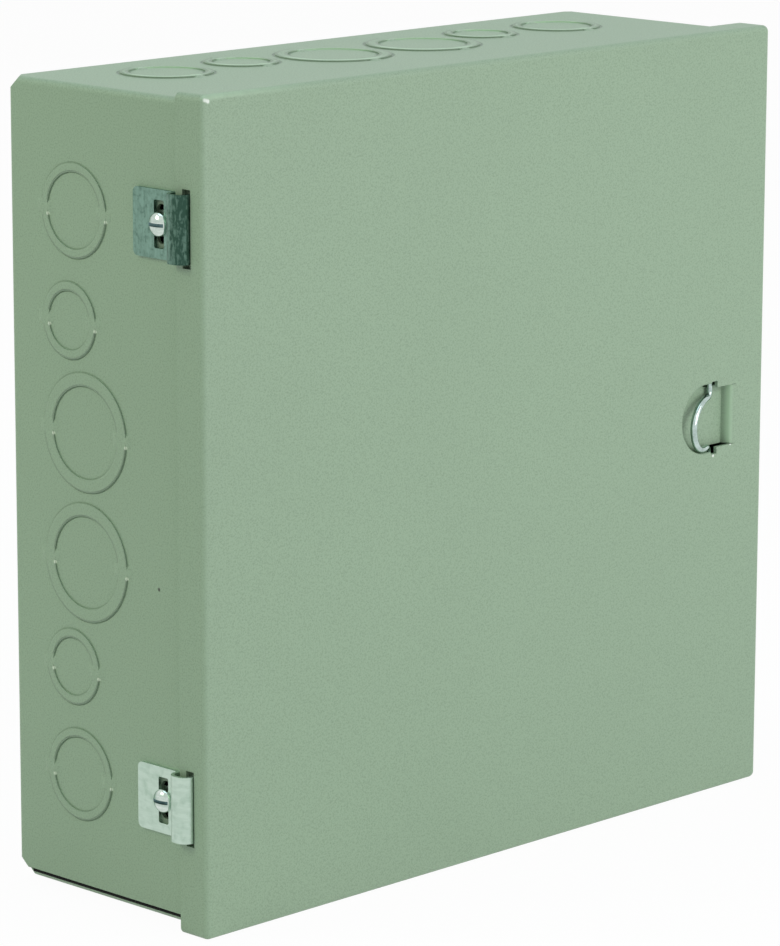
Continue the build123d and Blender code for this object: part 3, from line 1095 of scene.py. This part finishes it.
@dataclass
class PanHead:
    """Slotted pan head screw of a hinge, with a round crown, in millimetres."""

    face: float
    depth: float
    rise: float
    head: float = 9.0
    height: float = 2.7
    rim: float = 0.2
    rim_chamfer: float = 0.1
    shank: float = 4.8
    shank_chamfer: float = 0.4
    reach: float = 7.7
    drive_width: float = 1.3
    drive_depth: float = 1.2
    drive_over: float = 1.0
    tolerance: float = 0.01
    sides: int = 64
    crown_steps: int = 14
    smooth_angle: float = 40.0

    @classmethod
    def on(cls, node: str) -> "PanHead":
        """The screw at the place of its plainer solid.

        Args:
            node: The solid.

        Returns:
            The screw.
        """
        low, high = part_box(node)
        middle = (low + high) / 2 / MM
        return cls(low.x / MM + cls.height, -middle.y, middle.z)

    def profile(self) -> list[tuple[float, float]]:
        """Half section from the shank's end to the top of the crown.

        Returns:
            Pairs of radius and height over the leaf, in millimetres.
        """
        shank, head = self.shank / 2, self.head / 2
        points = [
            (shank - self.shank_chamfer, -self.reach),
            (shank, self.shank_chamfer - self.reach),
            (shank, 0.0),
            (head - self.rim_chamfer, 0.0),
            (head, self.rim_chamfer),
            (head, self.rim),
        ]
        for k in range(1, self.crown_steps):
            a = 0.5 * math.pi * k / self.crown_steps
            rise = self.rim + (self.height - self.rim) * math.sin(a)
            points.append((head * math.cos(a), rise))
        return points

    def at(self, out: float, beside: float, up: float) -> Vector:
        """A point by its height over the leaf and its offsets from the axis, in metres."""
        return Vector((self.face - out, -self.depth + beside, self.rise + up)) * MM

    def turned(self) -> bmesh.types.BMesh:
        """The screw without its drive slot.

        Returns:
            The lathed shape.
        """
        mesh = bmesh.new()
        spokes = [(math.cos(a), math.sin(a)) for a in turns(self.sides)]
        rings = [
            [mesh.verts.new(self.at(out, radius * c, radius * s)) for c, s in spokes]
            for radius, out in self.profile()
        ]
        skin(mesh, rings)
        top = mesh.verts.new(self.at(self.height, 0.0, 0.0))
        for k in range(self.sides):
            mesh.faces.new((rings[-1][k], rings[-1][(k + 1) % self.sides], top))
        mesh.faces.new(rings[0])
        return mesh

    def cutter(self) -> bmesh.types.BMesh:
        """The bar that cuts the drive slot.

        Returns:
            Its shape.
        """
        mesh = bmesh.new()
        low, high = self.height - self.drive_depth, self.height + self.drive_over
        long, half = self.head, self.drive_width / 2
        outline = ((-long, -half), (long, -half), (long, half), (-long, half))
        rings = [
            [mesh.verts.new(self.at(out, beside, up)) for beside, up in outline]
            for out in (low, high)
        ]
        mesh.faces.new(rings[0])
        mesh.faces.new(rings[1])
        skin(mesh, rings)
        return mesh

    def build(
        self, name: str, node: str, bright: bpy.types.Material, drive_shade: bpy.types.Material
    ) -> bpy.types.Object:
        """Makes the screw in place of its plainer solid.

        Args:
            name: Name of the piece.
            node: The solid that it replaces.
            bright: Its finish.
            drive_shade: Finish of the drive slot, darkened as painted shade.

        Returns:
            The piece.
        """
        piece = add_mesh(name, self.turned(), self.smooth_angle)
        bar = add_mesh("drive_bar", self.cutter())
        cut = piece.modifiers.new("drive", "BOOLEAN")
        cut.operation, cut.object, cut.solver = "DIFFERENCE", bar, "EXACT"
        shown = piece.evaluated_get(bpy.context.evaluated_depsgraph_get())
        shaped = bpy.data.meshes.new_from_object(shown)
        piece.modifiers.clear()
        piece.data = shaped
        bpy.data.objects.remove(bar)
        smooth(piece, self.smooth_angle)
        dress(piece, bright)
        piece.data.materials.append(drive_shade)
        floor = self.face - self.height + self.drive_depth + self.tolerance
        half = self.drive_width / 2 + self.tolerance
        for face in piece.data.polygons:
            middle = face.center / MM
            in_slot = abs(middle.z - self.rise) < half and middle.x < floor
            face.material_index = 1 if in_slot else 0
        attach(piece, Body.BOX.value)
        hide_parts(node)
        return piece


@dataclass(frozen=True)
class SoftBox:
    """One square lamp that points at the object, in metres and watts."""

    name: str
    place: Point
    size: float
    power: float
    colour: Colour = (1.0, 1.0, 1.0)

    def build(self) -> bpy.types.Object:
        """Adds the lamp.

        Returns:
            The lamp.
        """
        data = bpy.data.lights.new(self.name, "AREA")
        data.shape, data.size = "SQUARE", self.size
        data.energy, data.color = self.power, self.colour
        lamp = bpy.data.objects.new(self.name, data)
        bpy.context.scene.collection.objects.link(lamp)
        lamp.location = self.place
        lamp.rotation_mode = "QUATERNION"
        lamp.rotation_quaternion = (-Vector(self.place)).to_track_quat("-Z", "Y")
        return lamp


@dataclass
class Studio:
    """Floor, lamps, backdrop and camera."""

    floor_size: float = 6.0
    floor_grey: float = 0.9
    floor_white: float = 0.965
    fill: float = 0.36
    lamps: tuple[SoftBox, ...] = (
        SoftBox("key", (0.6, -1.9, 0.72), 1.4, 20.6),
        SoftBox("side", (-1.5, 0.7, 1.1), 0.7, 10.0, (0.93, 1.0, 0.76)),
        SoftBox("overhead", (-0.1, 0.2, 2.0), 1.4, 9.2, (0.56, 0.79, 1.0)),
    )
    yaw: float = -45.569
    pitch: float = 12.139
    roll: float = 0.157
    aim: Point = (0.0, -52.0 * MM, 0.0)
    distance: float = 1777.567 * MM
    across: float = -2.391 * MM
    above: float = -11.911 * MM
    focal_pixels: float = 4570.08
    photo_height: int = 946
    sensor: float = 36.0
    clip: Span = (0.05, 50.0)

    def backdrop(self) -> None:
        """Soft even light all round, seen as plain white."""
        world = bpy.data.worlds.new("studio")
        bpy.context.scene.world = world
        tree = ShaderTree(world)
        strength = tree.seen().ramp(0.0, 1.0, self.fill, 1.0)
        inputs = {"Color": (1.0, 1.0, 1.0, 1.0), "Strength": strength}
        light = tree.node("ShaderNodeBackground", None, inputs)
        tree.surface(light.outputs[0], "ShaderNodeOutputWorld")

    def floor(self, height: float) -> bpy.types.Object:
        """Pale floor that keeps the shadow.

        Args:
            height: Where the object stands, in metres.

        Returns:
            The floor.
        """
        mesh = bmesh.new()
        bmesh.ops.create_grid(mesh, x_segments=2, y_segments=2, size=self.floor_size / 2)
        floor = add_mesh("floor", mesh)
        floor.location.z = height
        made = bpy.data.materials.new("floor_paper")
        tree = ShaderTree(made)
        grey, white = (self.floor_grey,) * 3 + (1.0,), (1.0, 1.0, 1.0, 1.0)
        paper = tree.node("ShaderNodeBsdfDiffuse", None, {"Color": grey}).outputs[0]
        glow = tree.node("ShaderNodeEmission", None, {"Color": white, "Strength": 1.0}).outputs[0]
        inputs = {0: tree.seen() * self.floor_white, 1: paper, 2: glow}
        tree.surface(tree.node("ShaderNodeMixShader", None, inputs).outputs[0])
        dress(floor, made)
        floor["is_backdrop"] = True
        return floor

    def camera(self) -> bpy.types.Object:
        """Sets the camera at the photograph's angle.

        Returns:
            The camera.
        """
        yaw, pitch, roll = (math.radians(angle) for angle in (self.yaw, self.pitch, self.roll))
        flat, climb = math.cos(pitch), math.sin(pitch)
        back = Vector((math.sin(yaw) * flat, -math.cos(yaw) * flat, climb))
        level = Vector((math.cos(yaw), math.sin(yaw), 0.0))
        rise = back.cross(level)
        right = math.cos(roll) * level + math.sin(roll) * rise
        up = -math.sin(roll) * level + math.cos(roll) * rise
        aim = Vector(self.aim) + self.across * right + self.above * up
        data = bpy.data.cameras.new("camera")
        data.sensor_width = self.sensor
        data.lens = self.focal_pixels / self.photo_height * self.sensor
        data.clip_start, data.clip_end = self.clip
        camera = bpy.data.objects.new("camera", data)
        bpy.context.scene.collection.objects.link(camera)
        turn = Matrix((right, up, back)).transposed()
        camera.matrix_world = Matrix.Translation(aim + back * self.distance) @ turn.to_4x4()
        bpy.context.scene.camera = camera
        return camera

    def build(self, height: float) -> None:
        """Sets up the studio.

        Args:
            height: Where the object stands, in metres.
        """
        self.backdrop()
        self.floor(height)
        for lamp in self.lamps:
            lamp.build()
        self.camera()


def main() -> None:
    """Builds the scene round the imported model."""
    logging.basicConfig(level=logging.INFO, format="%(name)s: %(message)s")
    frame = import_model()
    cad_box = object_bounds()
    bpy.context.scene.view_settings.view_transform = "Standard"
    paint, box_paint = PowderCoat().material(), BoxCoat().material()
    cover_paint = CoverCoat().material()
    upper, lower = DULL_ZINC.material(), BRIGHT_ZINC.material()
    screw, drive_shade = BRIGHT_SCREW.material(), DRIVE_SHADE.material()
    chrome = BRIGHT_RING.material()
    finishes = {
        "box_wrap": box_paint,
        "back_plate": paint,
        "cover": cover_paint,
        "latch_strike": paint,
        "upper_hinge_leaf": upper,
        "upper_hinge_screw": screw,
        "lower_hinge_screw": screw,
        "latch_ring": chrome,
    }
    for name, node in frame["nodes"].items():
        smooth(node, CAD_SMOOTH_ANGLE)
        dress(node, finishes.get(name, lower))
        LOG.info("dressed %s", name)
    pieces = [LatchRing().build(chrome)]
    for name in ("upper_hinge_screw", "lower_hinge_screw"):
        pieces.append(PanHead.on(name).build(name + "_turned", name, screw, drive_shade))
    pieces.append(KnockoutTrim().build(box_paint))
    for piece in pieces:
        LOG.info("built %s", piece.name)
    Studio().build(cad_box[0].z - FLOOR_GAP)


if __name__ == "__main__":
    main()
